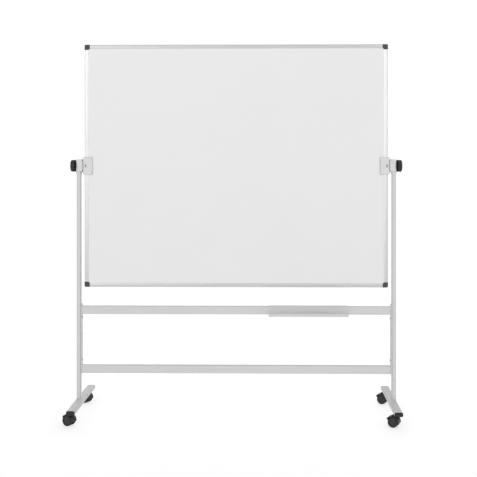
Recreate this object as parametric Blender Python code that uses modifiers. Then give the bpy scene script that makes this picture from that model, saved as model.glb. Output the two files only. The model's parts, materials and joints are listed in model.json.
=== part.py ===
"""Double-sided whiteboard that revolves between the two posts of a castor stand.

Run it with: blender --background --python part.py
Metres, +Z up. The origin is on the floor under the middle of the board, +X is to the
right and -Y is the front. Every physical piece is one closed solid in its own object.
"""

import math

import bmesh
import bpy
from mathutils import Matrix, Vector

# --- driving dimensions ----------------------------------------------------------------

GAP = 0.0003  # left between pieces that touch
OVERRUN = 0.01  # by which a cutter stands out of the piece it cuts

BOARD_WIDTH = 1.500
BOARD_HEIGHT = 1.200
PIVOT_HEIGHT = 1.230  # of the board's horizontal axis above the floor
RAIL_FACE = 0.020  # width of the aluminium rail seen from the front
RAIL_DEPTH = 0.020
RAIL_LIP = 0.0017
RAIL_WEB = 0.002
RAIL_EDGE_RADIUS = 0.002
SHEET_THICKNESS = 0.0005
SHEET_INSET = 0.006  # from the outer edge of the rail to the edge of the sheets
CORNER_CAP_SIZE = 0.026
CORNER_CAP_DEPTH = 0.021
CORNER_CAP_RADIUS = 0.007
CORNER_CAP_CHAMFER = 0.007

BRACKET_INNER_X = 0.7115
BRACKET_OUTER_X = 0.7580
BRACKET_HEIGHT = 0.085
BRACKET_DEPTH = 0.030
BRACKET_MOUTH = 0.0208  # opening that grips the edge of the board
BRACKET_CHAMFER_X = 0.003
BRACKET_CHAMFER_Z = 0.005
BRACKET_INNER_RADIUS = 0.002
BRACKET_RECESS_DEPTH = 0.003  # room for the head of the stud
SLOT_X = 0.7445  # a shallow slot in each face of the bracket
SLOT_WIDTH = 0.005
SLOT_HEIGHT = 0.015
SLOT_DEPTH = 0.0025
STUD_RADIUS = 0.005
STUD_HEAD_RADIUS = 0.008
STUD_HEAD_LENGTH = 0.0024
STUD_CHAMFER = 0.001
STUD_CLEARANCE = 0.0004
STUD_END_CLEARANCE = 0.002  # to the bottom of the hole in the knob

TUBE_WALL = 0.0015
TUBE_RADIUS = 0.005
POST_X = 0.7785
POST_WIDTH = 0.020
POST_DEPTH = 0.030
FOOT_WIDTH = 0.040
FOOT_HEIGHT = 0.020
FOOT_BOTTOM = 0.060
FOOT_LENGTH = 0.532
FOOT_CAP_WIDTH = 0.041
FOOT_CAP_HEIGHT = 0.021
FOOT_CAP_THICKNESS = 0.004
FOOT_CAP_RADIUS = 0.0075
FOOT_CAP_PLUG = 0.015
FOOT_CAP_PLUG_RADIUS = 0.003
FOOT_CAP_OVERLAP = 0.001  # of the plug into the flange

PLATE_THICKNESS = 0.0045
PLATE_DEPTH = 0.030
PLATE_BOTTOM = 0.201
PLATE_TOP = 0.546
BOLT_HEIGHTS = {"upper": 0.479, "lower": 0.270}
BOLT_RADIUS = 0.003
BOLT_HEAD_RADIUS = 0.0065
BOLT_HEAD_HEIGHT = 0.004
BOLT_HEAD_CHAMFER = 0.001
BOLT_HOLE_RADIUS = 0.0034
BOLT_PAST_MIDDLE = 0.002  # of the post
BAR_HEIGHT = 0.040
BAR_DEPTH = 0.020
BAR_RADIUS = 0.003
BAR_CENTRES = {"upper": 0.516, "lower": 0.224}

TRAY_LENGTH = 0.390
TRAY_X = 0.356
TRAY_SHEET = 0.0015
TRAY_DEPTH = 0.078  # from the middle of the bar to the front lip
TRAY_LIP = 0.014
TRAY_LIP_LEAN = 0.002
TRAY_HOOK = 0.013

HEAD_INNER_X = 0.7585
HEAD_OUTER_X = 0.7900
HEAD_RISE = 0.0320  # from the pivot to the top of the block
HEAD_DROP = 0.0290  # from the pivot to the lower edge of the block
HEAD_DEPTH = 0.0380
HEAD_CHAMFER_X = 0.005
HEAD_CHAMFER_Z = 0.009
HEAD_NECK_WIDTH = 0.0230
HEAD_NECK_DEPTH = 0.036
HEAD_NECK_TOP_DROP = 0.012  # from the pivot to where the neck starts inside the block
HEAD_NECK_DROP = 0.040  # from the pivot to the lower edge of the neck
HEAD_SOCKET_DROP = 0.024  # from the pivot to the top of the post
HEAD_SOCKET_LENGTH = 0.030

KNOB_RADIUS = 0.029
KNOB_LENGTH = 0.0300
KNOB_DOME_RADIUS = 0.006
KNOB_CHAMFER = 0.002
KNOB_COLLAR = 0.004  # plain length next to the head
KNOB_FLUTES = 8
KNOB_FLUTE_RADIUS = 0.006
KNOB_FLUTE_DEPTH = 0.0025
KNOB_BORE_DEPTH = 0.022

CASTOR_Y = 0.222
CASTOR_YAW = math.radians(-25)  # direction in which the stem leads the wheels
CASTOR_TRAIL = 0.018  # from the stem to the axle
SWIVEL_CLEARANCE = 0.0004
WHEEL_RADIUS = 0.025  # to the flats, one of which stands on the floor
WHEEL_FLATS = 24
WHEEL_WIDTH = 0.013
WHEEL_INNER = 0.0075  # from the middle of the castor to the wheel's inner face
WHEEL_HUB_RADIUS = 0.007
WHEEL_RIM_RADIUS = 0.0195
WHEEL_DISH = 0.0015  # depth of the dish between hub and rim
WHEEL_DISH_SLOPE = 0.001
WHEEL_SHOULDER = 0.0015
WHEEL_SHOULDER_WIDTH = 0.002
AXLE_RADIUS = 0.003
AXLE_HALF_LENGTH = 0.0195
BORE_CLEARANCE = 0.0003
HOOD_RADIUS = 0.0282
HOOD_WELL_RADIUS = 0.0262
HOOD_HALF_WIDTH = 0.0213
HOOD_HALF_WEB = 0.0065
HOOD_START = math.radians(-12)
HOOD_END = math.radians(90)
HOOD_HUB_RADIUS = 0.007
HOOD_TOP = 0.057
HOOD_POST_START = 0.015  # of the brake's post, above the axle
HOOD_POST_OVERLAP = 0.001
BOSS_RADIUS = 0.0095
BOSS_BOTTOM = 0.034
STEM_PIN_RADIUS = 0.0039
STEM_PIN_BOTTOM = 0.037
STEM_PIN_END_CLEARANCE = 0.001
STEM_THREAD_RADIUS = 0.0044
STEM_THREAD_TOP = 0.074
STEM_COLLAR_RADIUS = 0.008
STEM_HOLE_RADIUS = 0.0048
BRAKE_PIVOT = (-0.005, 0.0296)  # forward of and above the axle
BRAKE_TIP = (-0.035, 0.012)
BRAKE_THICKNESS = 0.0022
BRAKE_HALF_WIDTH = 0.017
BRAKE_TAPER_START = 0.55  # of the way from the pivot to the tip
BRAKE_TIP_HALF_WIDTH = 0.007
BRAKE_TIP_CHAMFER = 0.003
BRAKE_BARREL_RADIUS = 0.0025
BRAKE_PIN_RADIUS = 0.0015
BRAKE_PIN_CLEARANCE = 0.0004
BRAKE_PIN_OVERLAP = 0.001  # of the pin into the barrel on each side
BRAKE_LUG_RADIUS = 0.0028
BRAKE_NOTCH = 0.0058  # length of the opening for the lug
BRAKE_NOTCH_CLEARANCE = 0.0005
BRAKE_POST_HALF_LENGTH = 0.0025
BRAKE_POST_DROP = 0.002  # of its top under the pivot

QUARTER_TURN = math.radians(90)
ALONG_X = (QUARTER_TURN, 0, QUARTER_TURN)  # an outline's x, y, z to Y, Z, X
ALONG_Y = (QUARTER_TURN, 0, 0)  # an outline's x, y, z to X, Z, -Y
Z_TO_X = (0, QUARTER_TURN, 0)
HALF_TURN = (0, 0, math.pi)

FOOT_TOP = FOOT_BOTTOM + FOOT_HEIGHT
FOOT_MIDDLE = FOOT_BOTTOM + FOOT_HEIGHT / 2
FOOT_X = POST_X + (POST_WIDTH - FOOT_WIDTH) / 2  # flush with the outside of the post
POST_INNER_X = POST_X - POST_WIDTH / 2
PLATE_OUTER_X = POST_INNER_X - GAP
PLATE_INNER_X = PLATE_OUTER_X - PLATE_THICKNESS
SIDES = {"left": HALF_TURN, "right": (0, 0, 0)}

MERGE_DISTANCE = 0.000001
SHARP_ANGLE = math.radians(35)
EMPTY_SIZE = 0.03

# name: base colour, roughness, metallic
FINISHES = {
    "writing_enamel": ((0.80, 0.80, 0.80), 0.25, 0.0),
    "honeycomb_board": ((0.42, 0.33, 0.22), 0.85, 0.0),
    "anodised_aluminium": ((0.72, 0.72, 0.73), 0.35, 1.0),
    "dark_plastic": ((0.045, 0.045, 0.05), 0.50, 0.0),
    "grey_plastic": ((0.64, 0.64, 0.65), 0.45, 0.0),
    "grey_powder_coat": ((0.60, 0.60, 0.59), 0.40, 0.0),
    "zinc_plated_steel": ((0.55, 0.56, 0.58), 0.35, 1.0),
    "black_plastic": ((0.025, 0.025, 0.027), 0.45, 0.0),
}


# --- shape helpers ---------------------------------------------------------------------


def clear_scene():
    for obj in list(bpy.data.objects):
        bpy.data.objects.remove(obj, do_unlink=True)


def new_collection(name):
    collection = bpy.data.collections.new(name)
    bpy.context.scene.collection.children.link(collection)
    return collection


def make_finish(name):
    colour, roughness, metallic = FINISHES[name]
    material = bpy.data.materials.new(name)
    material.use_nodes = True
    shader = material.node_tree.nodes["Principled BSDF"]
    shader.inputs["Base Color"].default_value = (*colour, 1.0)
    shader.inputs["Roughness"].default_value = roughness
    shader.inputs["Metallic"].default_value = metallic
    return material


def arc(centre, radius, start, end, steps):
    """Points on a circle from one angle to the other, both ends included."""
    points = []
    for step in range(steps + 1):
        angle = start + (end - start) * step / steps
        x = centre[0] + radius * math.cos(angle)
        y = centre[1] + radius * math.sin(angle)
        points.append((x, y))
    return points


def rounded_rectangle(width, height, radius, steps=3):
    points = []
    corners = ((1, 1), (-1, 1), (-1, -1), (1, -1))
    for quarter, (side_x, side_y) in enumerate(corners):
        centre = (side_x * (width / 2 - radius), side_y * (height / 2 - radius))
        start = quarter * QUARTER_TURN
        points += arc(centre, radius, start, start + QUARTER_TURN, steps)
    return points


def freeze(obj):
    """The evaluated shape of an object, in world axes, as a new mesh with its faces out."""
    bpy.context.view_layer.update()
    graph = bpy.context.evaluated_depsgraph_get()
    mesh = bpy.data.meshes.new_from_object(obj.evaluated_get(graph))
    mesh.transform(obj.matrix_world)
    tidy = bmesh.new()
    tidy.from_mesh(mesh)
    bmesh.ops.remove_doubles(tidy, verts=tidy.verts, dist=MERGE_DISTANCE)
    bmesh.ops.recalc_face_normals(tidy, faces=tidy.faces)
    tidy.to_mesh(mesh)
    tidy.free()
    mesh.materials.clear()
    bpy.data.objects.remove(obj, do_unlink=True)
    return mesh


def stage(data):
    """A working object in the cutters collection."""
    obj = bpy.data.objects.new("shape", data)
    obj.hide_render = True
    obj.display_type = "WIRE"
    cutters.objects.link(obj)
    return obj


def prism(outlines, length, rotation=(0, 0, 0), location=(0, 0, 0)):
    """An outline, or an outline with holes, extruded to both sides of its own plane."""
    curve = bpy.data.curves.new("outline", "CURVE")
    curve.dimensions = "2D"
    curve.fill_mode = "BOTH"
    curve.extrude = length / 2
    for outline in outlines:
        spline = curve.splines.new("POLY")
        spline.points.add(len(outline) - 1)
        for point, (x, y) in zip(spline.points, outline):
            point.co = (x, y, 0, 1)
        spline.use_cyclic_u = True
    obj = stage(curve)
    obj.rotation_euler = rotation
    obj.location = location
    return freeze(obj)


def box(lowest, highest):
    mesh = bpy.data.meshes.new("box")
    build = bmesh.new()
    bmesh.ops.create_cube(build, size=1)
    size = Vector(highest) - Vector(lowest)
    middle = (Vector(highest) + Vector(lowest)) / 2
    shape = Matrix.Translation(middle) @ Matrix.Diagonal((*size, 1))
    bmesh.ops.transform(build, matrix=shape, verts=build.verts)
    build.to_mesh(mesh)
    build.free()
    return mesh


def rod(start, end, radius, sides=16):
    """A straight round bar from one point to the other."""
    start, end = Vector(start), Vector(end)
    span = end - start
    turn = span.to_track_quat("Z", "Y").to_matrix().to_4x4()
    mesh = bpy.data.meshes.new("rod")
    build = bmesh.new()
    bmesh.ops.create_cone(
        build, cap_ends=True, segments=sides, radius1=radius, radius2=radius, depth=span.length
    )
    bmesh.ops.transform(
        build, matrix=Matrix.Translation((start + end) / 2) @ turn, verts=build.verts
    )
    build.to_mesh(mesh)
    build.free()
    return mesh


def turned(profile, steps, closed=False, rotation=(0, 0, 0), location=(0, 0, 0)):
    """A profile of (radius, height) points turned about its own Z axis."""
    mesh = bpy.data.meshes.new("profile")
    build = bmesh.new()
    points = [build.verts.new((radius, 0, height)) for radius, height in profile]
    for first, second in zip(points, points[1:]):
        build.edges.new((first, second))
    if closed:
        build.edges.new((points[-1], points[0]))
    build.to_mesh(mesh)
    build.free()
    obj = stage(mesh)
    screw = obj.modifiers.new("turn", "SCREW")
    screw.steps = steps
    screw.render_steps = steps
    screw.use_merge_vertices = True
    screw.merge_threshold = MERGE_DISTANCE
    obj.rotation_euler = rotation
    obj.location = location
    return freeze(obj)


def boolean(operation, body, *tools):
    """One mesh that is the body joined with, or cut by, each tool in turn."""
    obj = stage(body)
    helpers = []
    for tool in tools:
        helper = stage(tool)
        helpers.append(helper)
        modifier = obj.modifiers.new(operation.lower(), "BOOLEAN")
        modifier.operation = operation
        modifier.object = helper
    mesh = freeze(obj)
    for helper in helpers:
        bpy.data.objects.remove(helper, do_unlink=True)
    return mesh


def cut(body, *tools):
    return boolean("DIFFERENCE", body, *tools)


def join(body, *tools):
    return boolean("UNION", body, *tools)


def place(name, mesh, finish, location=(0, 0, 0), rotation=(0, 0, 0), parent=None):
    """One piece of the object. Pieces that repeat share their mesh and its finish."""
    obj = bpy.data.objects.new(name, mesh)
    obj.location = location
    obj.rotation_euler = rotation
    obj.parent = parent
    if not mesh.materials:
        mesh.name = name
        mesh.materials.append(finishes[finish])
        mesh.shade_smooth()
        mesh.set_sharp_from_angle(angle=SHARP_ANGLE)
    whiteboard.objects.link(obj)
    return obj


def place_pair(name, mesh, finish, height, parent=None):
    """The right piece as modelled, and the left one turned half round the middle."""
    for side, turn in SIDES.items():
        place(f"{name}_{side}", mesh, finish, (0, 0, height), turn, parent)


def pivot_empty(name, location, rotation=(0, 0, 0)):
    empty = bpy.data.objects.new(name, None)
    empty.location = location
    empty.rotation_euler = rotation
    empty.empty_display_size = EMPTY_SIZE
    whiteboard.objects.link(empty)
    return empty


def tube_outlines(width, height, radius):
    outer = rounded_rectangle(width, height, radius)
    inner_radius = radius - TUBE_WALL
    inner = rounded_rectangle(width - 2 * TUBE_WALL, height - 2 * TUBE_WALL, inner_radius)
    return outer, inner


# --- the board -------------------------------------------------------------------------


def rail_mesh(length):
    """A C-shaped aluminium rail along X: its web at height 0 and its mouth upwards."""
    half = RAIL_DEPTH / 2
    radius = RAIL_EDGE_RADIUS
    groove = half - RAIL_LIP
    outline = [(-half, RAIL_FACE)]
    outline += arc((radius - half, radius), radius, 2 * QUARTER_TURN, 3 * QUARTER_TURN, 3)
    outline += arc((half - radius, radius), radius, 3 * QUARTER_TURN, 4 * QUARTER_TURN, 3)
    outline += [(half, RAIL_FACE), (groove, RAIL_FACE), (groove, RAIL_WEB)]
    outline += [(-groove, RAIL_WEB), (-groove, RAIL_FACE)]
    return prism([outline], length, ALONG_X)


def add_rails(pivot):
    long_rail = rail_mesh(BOARD_WIDTH - 2 * (CORNER_CAP_SIZE + GAP))
    short_rail = rail_mesh(BOARD_HEIGHT - 2 * (CORNER_CAP_SIZE + GAP))
    across, up = BOARD_WIDTH / 2, BOARD_HEIGHT / 2
    places = {
        "bottom": (long_rail, 0, (0, 0, -up)),
        "left": (short_rail, 1, (-across, 0, 0)),
        "top": (long_rail, 2, (0, 0, up)),
        "right": (short_rail, 3, (across, 0, 0)),
    }
    for side, (mesh, quarters, spot) in places.items():
        turns = (0, quarters * QUARTER_TURN, 0)
        place(f"board_rail_{side}", mesh, "anodised_aluminium", spot, turns, pivot)


def corner_cap_mesh():
    """The lower left cap: its outer corner at the origin, hollow for the panel's corner."""
    size, radius = CORNER_CAP_SIZE, CORNER_CAP_RADIUS
    outline = arc((radius, radius), radius, 2 * QUARTER_TURN, 3 * QUARTER_TURN, 4)
    outline += [(size, 0), (size, size - CORNER_CAP_CHAMFER)]
    outline += [(size - CORNER_CAP_CHAMFER, size), (0, size)]
    block = prism([outline], CORNER_CAP_DEPTH, ALONG_Y)
    groove = RAIL_DEPTH / 2 - RAIL_LIP
    start = SHEET_INSET - GAP
    pocket = box((start, -groove, start), (2 * size, groove, 2 * size))
    return cut(block, pocket)


def add_corner_caps(pivot):
    mesh = corner_cap_mesh()
    across, up = BOARD_WIDTH / 2, BOARD_HEIGHT / 2
    corners = {
        "bottom_left": (0, (-across, 0, -up)),
        "top_left": (1, (-across, 0, up)),
        "top_right": (2, (across, 0, up)),
        "bottom_right": (3, (across, 0, -up)),
    }
    for corner, (quarters, spot) in corners.items():
        turns = (0, quarters * QUARTER_TURN, 0)
        place(f"corner_cap_{corner}", mesh, "dark_plastic", spot, turns, pivot)


def add_panel(pivot):
    """Two enamelled steel sheets with a honeycomb board between them."""
    across = BOARD_WIDTH / 2 - SHEET_INSET
    up = BOARD_HEIGHT / 2 - SHEET_INSET
    face = RAIL_DEPTH / 2 - RAIL_LIP - GAP
    back = face - SHEET_THICKNESS
    core = back - GAP
    front_sheet = box((-across, -face, -up), (across, -back, up))
    back_sheet = box((-across, back, -up), (across, face, up))
    core_board = box((-across, -core, -up), (across, core, up))
    place("writing_sheet_front", front_sheet, "writing_enamel", parent=pivot)
    place("writing_sheet_back", back_sheet, "writing_enamel", parent=pivot)
    place("board_core", core_board, "honeycomb_board", parent=pivot)


def bracket_mesh():
    """The right clamp bracket: it grips the rail, and holds the head of the stud."""
    half = BRACKET_HEIGHT / 2
    radius = BRACKET_INNER_RADIUS
    inner, outer = BRACKET_INNER_X, BRACKET_OUTER_X
    upper = [(outer, half - BRACKET_CHAMFER_Z), (outer - BRACKET_CHAMFER_X, half)]
    upper += arc((inner + radius, half - radius), radius, QUARTER_TURN, 2 * QUARTER_TURN, 2)
    lower = [(x, -z) for x, z in reversed(upper)]
    block = prism([upper + lower], BRACKET_DEPTH, ALONG_Y)
    grip, reach = BRACKET_MOUTH / 2, half + OVERRUN
    mouth_end = BOARD_WIDTH / 2 + GAP
    mouth = box((inner - OVERRUN, -grip, -reach), (mouth_end, grip, reach))
    recess_ends = (mouth_end - OVERRUN, 0, 0), (mouth_end + BRACKET_RECESS_DEPTH, 0, 0)
    recess = rod(*recess_ends, STUD_HEAD_RADIUS + GAP, 20)
    bore_ends = (mouth_end, 0, 0), (outer + OVERRUN, 0, 0)
    bore = rod(*bore_ends, STUD_RADIUS + STUD_CLEARANCE, 20)
    return cut(block, mouth, recess, bore, *bracket_slots())


def bracket_slots():
    """Two cutters: one slot in the front face, and one in the rear face."""
    face = BRACKET_DEPTH / 2
    slots = []
    for start, end in ((-face - OVERRUN, SLOT_DEPTH - face), (face - SLOT_DEPTH, face + OVERRUN)):
        lowest = (SLOT_X - SLOT_WIDTH / 2, start, -SLOT_HEIGHT / 2)
        highest = (SLOT_X + SLOT_WIDTH / 2, end, SLOT_HEIGHT / 2)
        slots.append(box(lowest, highest))
    return slots


def stud_mesh():
    """The threaded pivot stud, with a round head inside the bracket."""
    start = BOARD_WIDTH / 2 + 2 * GAP
    shoulder = start + STUD_HEAD_LENGTH
    end = HEAD_OUTER_X + GAP + KNOB_BORE_DEPTH - STUD_END_CLEARANCE
    profile = [(0, end), (STUD_RADIUS - STUD_CHAMFER, end), (STUD_RADIUS, end - STUD_CHAMFER)]
    profile += [(STUD_RADIUS, shoulder), (STUD_HEAD_RADIUS, shoulder)]
    profile += [(STUD_HEAD_RADIUS, start), (0, start)]
    return turned(profile, 20, rotation=Z_TO_X)


def add_board():
    pivot = pivot_empty("board_pivot", (0, 0, PIVOT_HEIGHT))
    add_panel(pivot)
    add_rails(pivot)
    add_corner_caps(pivot)
    place_pair("pivot_bracket", bracket_mesh(), "grey_plastic", 0, pivot)
    place_pair("pivot_stud", stud_mesh(), "zinc_plated_steel", 0, pivot)


# --- the stand -------------------------------------------------------------------------


def head_mesh():
    """The right bearing head: a flat-faced block, and below it a socket for the post."""
    inner, outer = HEAD_INNER_X, HEAD_OUTER_X
    slope_start = inner + HEAD_CHAMFER_X
    outline = [(outer, -HEAD_DROP), (outer, HEAD_RISE), (slope_start, HEAD_RISE)]
    outline += [(inner, HEAD_RISE - HEAD_CHAMFER_Z), (inner, HEAD_CHAMFER_Z - HEAD_DROP)]
    outline += [(slope_start, -HEAD_DROP)]
    block = prism([outline], HEAD_DEPTH, ALONG_Y)
    bore_ends = (inner - OVERRUN, 0, 0), (outer + OVERRUN, 0, 0)
    bore = rod(*bore_ends, STUD_RADIUS + STUD_CLEARANCE, 20)
    neck_outline = rounded_rectangle(HEAD_NECK_WIDTH, HEAD_NECK_DEPTH, TUBE_RADIUS)
    neck_height = HEAD_NECK_DROP - HEAD_NECK_TOP_DROP
    middle = (POST_X, 0, -HEAD_NECK_TOP_DROP - neck_height / 2)
    neck = prism([neck_outline], neck_height, location=middle)
    socket_outline = rounded_rectangle(
        POST_WIDTH + 2 * GAP, POST_DEPTH + 2 * GAP, TUBE_RADIUS + GAP
    )
    socket_middle = (POST_X, 0, GAP - HEAD_SOCKET_DROP - HEAD_SOCKET_LENGTH / 2)
    socket = prism([socket_outline], HEAD_SOCKET_LENGTH, location=socket_middle)
    return cut(join(block, neck), socket, bore)


def add_posts():
    bottom = FOOT_TOP + GAP
    top = PIVOT_HEIGHT - HEAD_SOCKET_DROP
    outlines = tube_outlines(POST_WIDTH, POST_DEPTH, TUBE_RADIUS)
    tube = prism(outlines, top - bottom, location=(POST_X, 0, (top + bottom) / 2))
    holes = [
        rod((POST_INNER_X - OVERRUN, 0, height), (POST_X, 0, height), BOLT_HOLE_RADIUS, 12)
        for height in BOLT_HEIGHTS.values()
    ]
    place_pair("post", cut(tube, *holes), "grey_powder_coat", 0)
    place_pair("post_head", head_mesh(), "grey_plastic", PIVOT_HEIGHT)


def add_feet():
    outlines = tube_outlines(FOOT_WIDTH, FOOT_HEIGHT, TUBE_RADIUS)
    tube = prism(outlines, FOOT_LENGTH, ALONG_Y, (FOOT_X, 0, FOOT_MIDDLE))
    start = FOOT_BOTTOM - OVERRUN
    holes = [
        rod((FOOT_X, y, start), (FOOT_X, y, FOOT_MIDDLE), STEM_HOLE_RADIUS, 12)
        for y in (-CASTOR_Y, CASTOR_Y)
    ]
    place_pair("foot", cut(tube, *holes), "grey_powder_coat", 0)


def foot_cap_mesh():
    """A push-in end cap: a flange in front of the tube's end, facing -Y, and a plug."""
    half = FOOT_CAP_THICKNESS / 2
    rim = rounded_rectangle(FOOT_CAP_WIDTH, FOOT_CAP_HEIGHT, FOOT_CAP_RADIUS, 4)
    flange = prism([rim], FOOT_CAP_THICKNESS, ALONG_Y, (0, -half, 0))
    clearance = 2 * (TUBE_WALL + GAP)
    width, height = FOOT_WIDTH - clearance, FOOT_HEIGHT - clearance
    plug_outline = rounded_rectangle(width, height, FOOT_CAP_PLUG_RADIUS)
    plug_middle = (0, FOOT_CAP_PLUG / 2 - FOOT_CAP_OVERLAP, 0)
    plug = prism([plug_outline], FOOT_CAP_PLUG, ALONG_Y, plug_middle)
    return join(flange, plug)


def add_foot_caps():
    mesh = foot_cap_mesh()
    reach = FOOT_LENGTH / 2 + GAP
    for side, x in (("left", -FOOT_X), ("right", FOOT_X)):
        place(f"foot_cap_front_{side}", mesh, "black_plastic", (x, -reach, FOOT_MIDDLE))
        spot = (x, reach, FOOT_MIDDLE)
        place(f"foot_cap_rear_{side}", mesh, "black_plastic", spot, HALF_TURN)


def add_bar_frame():
    """Two cross-bars between two end plates, which bolt to the posts."""
    plate = box(
        (PLATE_INNER_X, -PLATE_DEPTH / 2, PLATE_BOTTOM),
        (PLATE_OUTER_X, PLATE_DEPTH / 2, PLATE_TOP),
    )
    start, end = PLATE_INNER_X - OVERRUN, PLATE_OUTER_X + OVERRUN
    holes = [
        rod((start, 0, height), (end, 0, height), BOLT_HOLE_RADIUS, 12)
        for height in BOLT_HEIGHTS.values()
    ]
    place_pair("end_plate", cut(plate, *holes), "grey_powder_coat", 0)
    length = 2 * (PLATE_INNER_X - GAP)
    bar = prism(tube_outlines(BAR_DEPTH, BAR_HEIGHT, BAR_RADIUS), length, ALONG_X)
    for level, height in BAR_CENTRES.items():
        place(f"crossbar_{level}", bar, "grey_powder_coat", (0, 0, height))


def add_bolts():
    under_head = PLATE_INNER_X - GAP
    head = under_head - BOLT_HEAD_HEIGHT
    shank, rim, chamfer = BOLT_RADIUS, BOLT_HEAD_RADIUS, BOLT_HEAD_CHAMFER
    end = POST_X + BOLT_PAST_MIDDLE
    profile = [(0, end), (shank, end), (shank, under_head), (rim, under_head)]
    profile += [(rim, head + chamfer), (rim - chamfer, head), (0, head)]
    mesh = turned(profile, 12, rotation=Z_TO_X)
    for level, height in BOLT_HEIGHTS.items():
        place_pair(f"plate_bolt_{level}", mesh, "zinc_plated_steel", height)


def add_pen_tray():
    """A bent sheet that hooks over the upper bar, with its trough to the front."""
    off_bar = GAP + TRAY_SHEET / 2
    side = BAR_DEPTH / 2 + off_bar
    top = BAR_HEIGHT / 2 + off_bar
    floor = -BAR_HEIGHT / 2
    path = [(side, top - TRAY_HOOK), (side, top), (-side, top), (-side, floor)]
    path += [(TRAY_LIP_LEAN - TRAY_DEPTH, floor), (-TRAY_DEPTH, floor + TRAY_LIP)]
    curve = bpy.data.curves.new("tray_section", "CURVE")
    curve.dimensions = "2D"
    curve.fill_mode = "NONE"
    curve.extrude = TRAY_LENGTH / 2
    spline = curve.splines.new("POLY")
    spline.points.add(len(path) - 1)
    for point, (y, z) in zip(spline.points, path):
        point.co = (y, z, 0, 1)
    sheet = stage(curve)
    thickness = sheet.modifiers.new("thickness", "SOLIDIFY")
    thickness.thickness = TRAY_SHEET
    thickness.offset = 0
    thickness.use_even_offset = True
    sheet.rotation_euler = ALONG_X
    place("pen_tray", freeze(sheet), "grey_powder_coat", (TRAY_X, 0, BAR_CENTRES["upper"]))


def knob_mesh():
    """The right clamp knob: a domed drum with a blind hole, and flutes round its side."""
    start = HEAD_OUTER_X + GAP
    end = start + KNOB_LENGTH
    radius, dome, chamfer = KNOB_RADIUS, KNOB_DOME_RADIUS, KNOB_CHAMFER
    bore = STUD_RADIUS + STUD_CLEARANCE
    profile = [(0, end), (radius - dome, end)]
    profile += arc((radius - dome, end - dome), dome, math.radians(60), 0, 3)
    profile += [(radius, start + chamfer), (radius - chamfer, start), (bore, start)]
    profile += [(bore, start + KNOB_BORE_DEPTH), (0, start + KNOB_BORE_DEPTH)]
    knob = turned(profile, 32, rotation=Z_TO_X)
    reach = radius + KNOB_FLUTE_RADIUS - KNOB_FLUTE_DEPTH
    flutes = []
    for flute in range(KNOB_FLUTES):
        angle = 2 * math.pi * (flute + 0.5) / KNOB_FLUTES
        y, z = reach * math.cos(angle), reach * math.sin(angle)
        ends = (start + KNOB_COLLAR, y, z), (end + OVERRUN, y, z)
        flutes.append(rod(*ends, KNOB_FLUTE_RADIUS, 14))
    return cut(knob, *flutes)


def add_knobs():
    """Two clamp knobs, threaded on the studs outside the heads."""
    place_pair("clamp_knob", knob_mesh(), "black_plastic", PIVOT_HEIGHT)


# --- castors ---------------------------------------------------------------------------


def stem_mesh():
    """Swivel pin below, collar under the foot, thread inside the foot."""
    collar_bottom = HOOD_TOP + SWIVEL_CLEARANCE
    collar_top = FOOT_BOTTOM - GAP
    pin, thread, collar = STEM_PIN_RADIUS, STEM_THREAD_RADIUS, STEM_COLLAR_RADIUS
    profile = [(0, STEM_THREAD_TOP), (thread, STEM_THREAD_TOP), (thread, collar_top)]
    profile += [(collar, collar_top), (collar, collar_bottom), (pin, collar_bottom)]
    profile += [(pin, STEM_PIN_BOTTOM), (0, STEM_PIN_BOTTOM)]
    return turned(profile, 12)


def hood_shell():
    """A web between the wheels, a mudguard over both, and a boss for the stem."""
    axle = (-CASTOR_TRAIL, WHEEL_RADIUS)
    outline = arc(axle, HOOD_RADIUS, HOOD_START, HOOD_END, 10)
    hub_start = HOOD_END + QUARTER_TURN
    hub_end = HOOD_START + 3 * QUARTER_TURN
    outline += arc(axle, HOOD_HUB_RADIUS, hub_start, hub_end, 4)
    body = prism([outline], 2 * HOOD_HALF_WIDTH, ALONG_Y)
    boss = rod((0, 0, BOSS_BOTTOM), (0, 0, HOOD_TOP), BOSS_RADIUS, 20)
    outside = HOOD_HALF_WIDTH + OVERRUN
    wells = []
    for side in (-1, 1):
        ends = (axle[0], side * HOOD_HALF_WEB, axle[1]), (axle[0], side * outside, axle[1])
        wells.append(rod(*ends, HOOD_WELL_RADIUS, 40))
    return cut(join(body, boss), *wells)


def hood_mesh():
    """The swivelling hood, with the lug that carries the brake pedal."""
    axle_x, axle_z = -CASTOR_TRAIL, WHEEL_RADIUS
    pivot_x, pivot_z = axle_x + BRAKE_PIVOT[0], axle_z + BRAKE_PIVOT[1]
    web = HOOD_HALF_WEB
    post_start = (pivot_x - BRAKE_POST_HALF_LENGTH, -web, axle_z + HOOD_POST_START)
    post_end = (axle_x + HOOD_POST_OVERLAP, web, pivot_z - BRAKE_POST_DROP)
    lug = rod((pivot_x, -web, pivot_z), (pivot_x, web, pivot_z), BRAKE_LUG_RADIUS, 16)
    outside = HOOD_HALF_WIDTH + OVERRUN
    pin_ends = (pivot_x, -outside, pivot_z), (pivot_x, outside, pivot_z)
    pin_hole = rod(*pin_ends, BRAKE_PIN_RADIUS + BRAKE_PIN_CLEARANCE, 12)
    stem_ends = (0, 0, STEM_PIN_BOTTOM - STEM_PIN_END_CLEARANCE), (0, 0, HOOD_TOP + OVERRUN)
    stem_bore = rod(*stem_ends, STEM_PIN_RADIUS + SWIVEL_CLEARANCE, 12)
    axle_ends = (axle_x, -outside, axle_z), (axle_x, outside, axle_z)
    axle_bore = rod(*axle_ends, AXLE_RADIUS + BORE_CLEARANCE, 12)
    body = join(hood_shell(), box(post_start, post_end), lug)
    return cut(body, pin_hole, stem_bore, axle_bore)


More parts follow.
